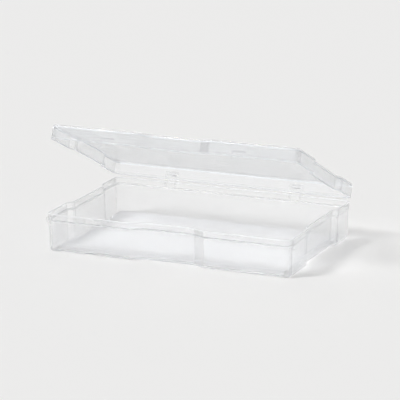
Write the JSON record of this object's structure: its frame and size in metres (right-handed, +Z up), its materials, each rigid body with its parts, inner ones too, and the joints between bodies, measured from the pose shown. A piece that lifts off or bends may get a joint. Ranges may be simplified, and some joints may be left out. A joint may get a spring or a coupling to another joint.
{
  "type": "pencil case",
  "caption": "Shallow clear moulded pencil case with waisted sides, a hinged clip-on lid that stands half open, and a frosted raised floor.",
  "frame": {"origin": "on the ground, under the middle of the box that the case fills with its lid at rest", "axes": "+X to the right along the case's length, -Y towards the opening front, +Z up"},
  "size_m": [0.2244, 0.1484, 0.1057],
  "materials": {
    "tray_clear": "clear natural polypropylene, polished walls and a frosted floor",
    "lid_clear": "clear natural polypropylene, polished with a lightly frosted top"
  },
  "bodies": {
    "tray": {"tray": "tray_clear", "hinge_brackets": "tray_clear", "catch_beads": "tray_clear", "grip_nubs": "tray_clear"},
    "lid": {"lid": "lid_clear", "hinge_clips": "lid_clear", "snap_lugs": "lid_clear"}
  },
  "joints": [
    {"name": "lid_hinge", "type": "hinge", "parent": "tray", "child": "lid", "pos_m": [0, 0.07168, 0.0384], "axis": [-1, 0, 0], "range_deg": [-25, 155]}
  ]
}
